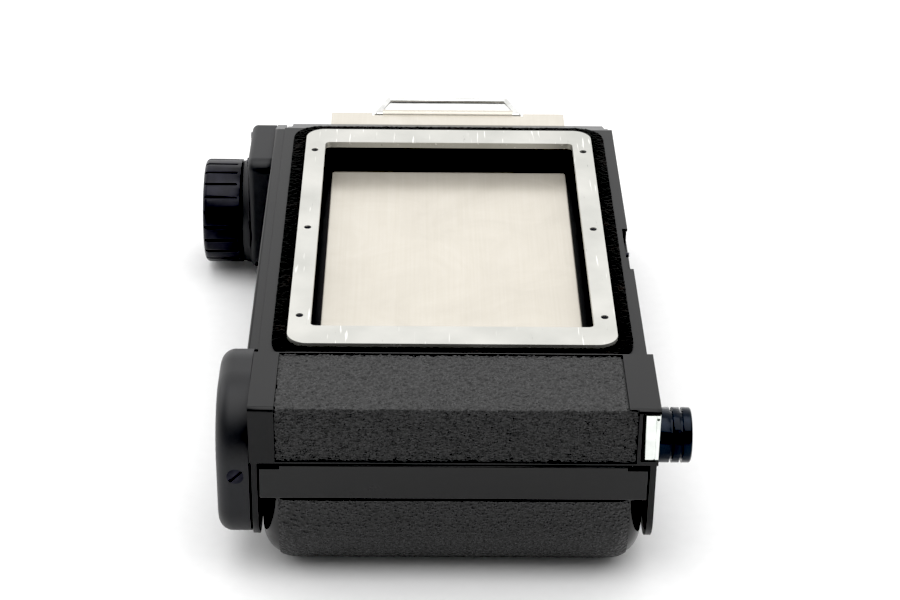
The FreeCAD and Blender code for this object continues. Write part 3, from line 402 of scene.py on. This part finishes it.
# %% [markdown]
# ## Helpers for new pieces
# Each new piece starts as a primitive at its size and place and is then worked in edit mode. The work
# picks its vertices by where they are, so one helper selects them by a test on their position.

# %% Modelling helpers
def start():
    """Leave no piece selected before a new one is made."""
    if bpy.context.object and bpy.context.object.mode != "OBJECT":
        bpy.ops.object.mode_set(mode="OBJECT")
    bpy.ops.object.select_all(action="DESELECT")


def choose(test):
    """Select the vertices of the piece in hand whose position passes the test."""
    piece = bpy.context.object
    bpy.ops.object.mode_set(mode="EDIT")
    bpy.ops.mesh.select_mode(type="VERT")
    bpy.ops.mesh.select_all(action="DESELECT")
    bpy.ops.object.mode_set(mode="OBJECT")
    for vertex in piece.data.vertices:
        vertex.select = test(vertex.co)
    bpy.ops.object.mode_set(mode="EDIT")


def settle(name):
    """Leave edit mode, put the piece's origin at the frame's origin, and name it."""
    bpy.ops.object.mode_set(mode="OBJECT")
    bpy.ops.object.transform_apply(location=True, rotation=True, scale=True)
    bpy.context.object.name = name
    return bpy.context.object


def modify(kind, **settings):
    """Add a modifier to the piece in hand, set it and apply it."""
    piece = bpy.context.object
    modifier = piece.modifiers.new(kind.lower(), kind)
    for key, value in settings.items():
        setattr(modifier, key, value)
    bpy.ops.object.modifier_apply(modifier=modifier.name)


def relief(name, kind, size_mm, **settings):
    """A procedural relief for the displace modifier, its features this many millimetres."""
    texture = bpy.data.textures.new(name, kind)
    texture.noise_scale = size_mm * MM
    for key, value in settings.items():
        setattr(texture, key, value)
    return texture


def hand_over(piece, body, material):
    """Give a finished piece its material, its smooth shading and the body it moves with."""
    piece.data.materials.clear()
    piece.data.materials.append(material)
    bpy.ops.object.select_all(action="DESELECT")
    piece.select_set(True)
    bpy.context.view_layer.objects.active = piece
    bpy.ops.object.shade_smooth_by_angle(angle=math.radians(50))
    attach(piece, body)
    print(piece.name, len(piece.data.polygons), "faces")


PEBBLES = relief("pebbles", "VORONOI", 0.85, distance_metric="DISTANCE")
WRINKLES = relief("wrinkles", "CLOUDS", 0.45, noise_depth=2)

# %% [markdown]
# ## The chamber's covering
# The leatherette is cut flat, glued on the top of the supply chamber and folded down over its front.
# It is modelled the same way: a fine flat grid as long as the top and the front together, whose front
# part is turned down a right angle about the fold. The part on the top ends sooner on the right than the
# front does, so it is trimmed there. The fold is then eased, the pebbles are raised, and the cloth gets
# its thickness.

# %% Cut and fold the chamber's covering
GRAIN_STEP = 0.27 * MM
TOP_EDGE = 35.2 * MM
SHEET_INSET = 0.12 * MM
EASED = 1.0 * MM
PEBBLE_HEIGHT = 0.42 * MM
WRINKLE_HEIGHT = 0.14 * MM
CLOTH = 0.3 * MM
low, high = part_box("chamber_leatherette")
top_len = high.y - low.y
front_len = high.z - low.z
width = high.x - low.x
start()
bpy.ops.mesh.primitive_grid_add(
    x_subdivisions=round(width / GRAIN_STEP), y_subdivisions=round((top_len + front_len) / GRAIN_STEP),
    size=1.0, location=((low.x + high.x) / 2, (high.y + low.y - front_len) / 2, high.z - SHEET_INSET))
bpy.context.object.scale = (width, top_len + front_len, 1.0)
bpy.ops.object.transform_apply(location=True, rotation=True, scale=True)
fold_y = low.y + SHEET_INSET
choose(lambda co: co.y < fold_y)
bpy.ops.transform.rotate(value=math.radians(-90), orient_axis="X",
                         center_override=(0, fold_y, high.z - SHEET_INSET))
choose(lambda co: co.x > TOP_EDGE and co.y > fold_y + 0.2 * MM)
bpy.ops.mesh.delete(type="VERT")
bpy.ops.object.mode_set(mode="OBJECT")
front_low = min(v.co.z for v in bpy.context.object.data.vertices)
print("the sheet hangs to", round(front_low / MM, 2), "mm")
choose(lambda co: abs(co.y - fold_y) < EASED and co.z > high.z - 1.2 * EASED)
bpy.ops.mesh.vertices_smooth(factor=0.5, repeat=6)
settle("pebbled_chamber_covering")
modify("DISPLACE", texture=PEBBLES, texture_coords="LOCAL", strength=-PEBBLE_HEIGHT, mid_level=0.2)
modify("DISPLACE", texture=WRINKLES, texture_coords="LOCAL", strength=WRINKLE_HEIGHT, mid_level=0.5)
modify("SOLIDIFY", thickness=CLOTH, offset=-1.0)
chamber_skin = bpy.context.object
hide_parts("chamber_leatherette")
hand_over(chamber_skin, "magazine_body", FINISHES["leatherette"])

# %% [markdown]
# ## The pile seal
# The light seal is a ring of velvet laid round the silver frame, its pile standing up and matted in
# places where lint has caught. The ring keeps the outline of the CAD ring, its skin is cut up evenly by
# a remesh, and a cloudy relief lifts and flattens the pile.

# %% Raise the pile
PILE_GRID = 0.25 * MM
TUFT_HEIGHT = 0.35 * MM
ring = frame["nodes"]["velvet_seal"]
start()
pile_ring = ring.copy()
pile_ring.data = ring.data.copy()
bpy.context.scene.collection.objects.link(pile_ring)
pile_ring.select_set(True)
bpy.context.view_layer.objects.active = pile_ring
pile_ring.name = "matted_pile_seal"
bpy.ops.object.mode_set(mode="EDIT")
bpy.ops.mesh.select_all(action="SELECT")
bpy.ops.mesh.remove_doubles(threshold=0.002 * MM)
bpy.ops.mesh.normals_make_consistent(inside=False)
bpy.ops.object.mode_set(mode="OBJECT")
modify("REMESH", mode="VOXEL", voxel_size=PILE_GRID)
TUFTS = relief("tufts", "CLOUDS", 0.5, noise_depth=3)
modify("DISPLACE", texture=TUFTS, texture_coords="LOCAL", strength=TUFT_HEIGHT, mid_level=0.6)
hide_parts("velvet_seal")
hand_over(pile_ring, "magazine_body", FINISHES["black_pile"])

# %% [markdown]
# ## The chrome latch
# The push piece is a bright plated block with a chamfer towards the covering, a narrow lip on its outer
# side and a small drilled hole at the lip's top, where the pin of its spring shows.

# %% Shape the latch
LIP_SHARE = 0.7
GROOVE_WIDTH = 0.25 * MM
GROOVE_DEPTH = 0.3 * MM
CHAMFER = 0.6 * MM
HOLE_RADIUS = 0.3 * MM
low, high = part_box("latch_button")
size = high - low
start()
bpy.ops.mesh.primitive_cube_add(size=1.0, location=(low + high) / 2)
bpy.context.object.scale = size
bpy.ops.object.transform_apply(location=True, rotation=True, scale=True)
lip_x = low.x + LIP_SHARE * size.x
bpy.ops.object.mode_set(mode="EDIT")
for cut_x in (lip_x, lip_x + GROOVE_WIDTH):
    bpy.ops.mesh.select_all(action="SELECT")
    bpy.ops.mesh.bisect(plane_co=(cut_x, 0, 0), plane_no=(1, 0, 0))
bpy.ops.object.mode_set(mode="OBJECT")
latch = bpy.context.object
groove = [f for f in latch.data.polygons
          if f.normal.y < -0.9 and lip_x < f.center.x < lip_x + GROOVE_WIDTH]
for face in latch.data.polygons:
    face.select = face in groove
bpy.ops.object.mode_set(mode="EDIT")
bpy.ops.mesh.select_mode(type="FACE")
bpy.ops.mesh.extrude_region_move(TRANSFORM_OT_translate={"value": (0, GROOVE_DEPTH, 0)})
choose(lambda co: co.x < low.x + 0.01 * MM and co.y < low.y + 0.01 * MM)
bpy.ops.mesh.bevel(offset=CHAMFER, segments=1)
settle("plated_latch")
start()
bpy.ops.mesh.primitive_cylinder_add(vertices=24, radius=HOLE_RADIUS, depth=2 * MM,
                                    location=(high.x - 0.5 * MM, low.y, high.z - 0.9 * MM),
                                    rotation=(math.pi / 2, 0, 0))
drill = settle("drill")
start()
latch.select_set(True)
bpy.context.view_layer.objects.active = latch
modify("BOOLEAN", object=drill, operation="DIFFERENCE")
bpy.data.objects.remove(drill)
modify("BEVEL", width=0.08 * MM, segments=2, limit_method="ANGLE")
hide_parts("latch_button")
hand_over(latch, "latch_body", FINISHES["chrome_button"])

# %% [markdown]
# ## The studio
# The magazine lies on its back on a white sweep. The studio is bright overhead and behind it and dim
# behind the camera, so the upward faces shine and the front faces stay darker. The black level is set a
# little above zero, so that the deepest greys of the enamel come out black.

# %% Floor
bpy.ops.object.select_all(action="DESELECT")
bpy.ops.mesh.primitive_plane_add(size=6.0, location=(0, 0, cad_low.z))
floor = bpy.context.active_object
floor.name = "sweep"
floor_material, floor_tree, floor_shader, floor_place = new_material("white_paper_sweep")
floor_grain = add(floor_tree, "ShaderNodeTexNoise", {"Scale": per_metre(3), "Detail": 3.0},
                  {"Vector": floor_place})
floor_tint = ramp(floor_tree, floor_grain.outputs["Fac"], [(0.3, grey(0.93)), (0.7, grey(0.95))])
floor_tree.links.new(floor_tint, floor_shader.inputs["Base Color"])
set_shader(floor_shader, Roughness=0.9)
floor.data.materials.append(floor_material)
floor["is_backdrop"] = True

# %% Lights
DIM_SIDE = 0.25
BRIGHT_SIDE = 1.32
BLACK_LEVEL = 0.027
world = bpy.data.worlds.new("studio")
world.use_nodes = True
backdrop = world.node_tree
toward = add(backdrop, "ShaderNodeTexCoord").outputs["Generated"]
parts = add(backdrop, "ShaderNodeSeparateXYZ", {}, {"Vector": toward})
fade = add(backdrop, "ShaderNodeMapRange",
           {"From Min": -0.9, "From Max": 0.5, "To Min": DIM_SIDE, "To Max": BRIGHT_SIDE},
           {"Value": parts.outputs["Y"]})
backdrop.links.new(fade.outputs["Result"], backdrop.nodes["Background"].inputs["Strength"])
backdrop.nodes["Background"].inputs["Color"].default_value = grey(1.0)
bpy.context.scene.world = world


def soft_light(name, place, size, power):
    """A square softbox aimed at the frame's origin."""
    data = bpy.data.lights.new(name, "AREA")
    data.shape = "SQUARE"
    data.size = size
    data.energy = power
    lamp = bpy.data.objects.new(name, data)
    bpy.context.scene.collection.objects.link(lamp)
    lamp.location = place
    lamp.rotation_euler = (-Vector(place)).to_track_quat("-Z", "Y").to_euler()


soft_light("overhead_softbox", place=(0.05, -0.25, 1.0), size=1.2, power=8.0)
soft_light("left_softbox", place=(-0.9, 0.3, 0.5), size=0.6, power=1.5)
view = bpy.context.scene.view_settings
view.view_transform = "Standard"
view.use_curve_mapping = True
view.curve_mapping.black_level = (BLACK_LEVEL, BLACK_LEVEL, BLACK_LEVEL)
view.curve_mapping.update()

# %% [markdown]
# ## The camera
# The view looks down the length of the magazine from the supply end, thirty degrees above the table,
# through a long lens from about half a metre, with the camera rolled by less than a degree.

# %% Camera
CAMERA_PLACE = (-7.6 * MM, -480.3 * MM, 257.9 * MM)
LENS_MM = 93.2
SENSOR_MM = 36.0
pitch = math.radians(30.0)
yaw = math.radians(0.92)
roll = math.radians(0.85)
forward = Vector((math.sin(yaw) * math.cos(pitch), math.cos(yaw) * math.cos(pitch), -math.sin(pitch)))
level = Vector((math.cos(yaw), -math.sin(yaw), 0.0))
upright = level.cross(forward)
right = level * math.cos(roll) + upright * math.sin(roll)
up = upright * math.cos(roll) - level * math.sin(roll)
camera_data = bpy.data.cameras.new("view")
camera_data.lens = LENS_MM
camera_data.sensor_width = SENSOR_MM
camera_data.clip_end = 20.0
camera = bpy.data.objects.new("view", camera_data)
bpy.context.scene.collection.objects.link(camera)
turn = Matrix((right, up, -forward)).transposed().to_4x4()
camera.matrix_world = Matrix.Translation(CAMERA_PLACE) @ turn
bpy.context.scene.camera = camera
print("camera distance", round(camera.location.length, 3), "m")

# %% The size of the finished scene
low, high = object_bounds()
